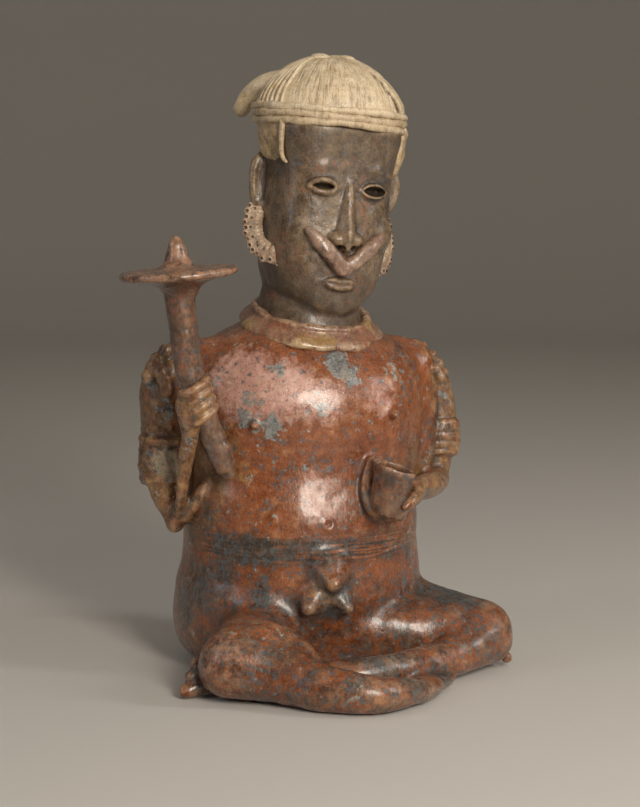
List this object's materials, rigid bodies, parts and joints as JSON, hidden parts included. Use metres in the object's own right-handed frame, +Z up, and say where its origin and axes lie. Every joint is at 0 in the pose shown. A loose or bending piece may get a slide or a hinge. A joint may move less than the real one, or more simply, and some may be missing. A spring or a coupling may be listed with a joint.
{
  "type": "seated ceramic figure",
  "caption": "Hollow burnished earthenware figure seated cross-legged, with a disc-headed club in one hand, a small open cup in the other, a coiled cap, ear and nose ornaments and a collar.",
  "frame": {"origin": "below the middle of the figure's bounding box, on the plane it rests on", "axes": "+Z up, -Y the way the figure faces, -X the figure's own right side, where the club is"},
  "size_m": [0.3208, 0.284, 0.4999],
  "materials": {
    "burnished_slip": "burnished red-brown slip with buff and cream zones and dark manganese specks"
  },
  "bodies": {
    "root": {"seated_figure": "burnished_slip"}
  },
  "joints": []
}
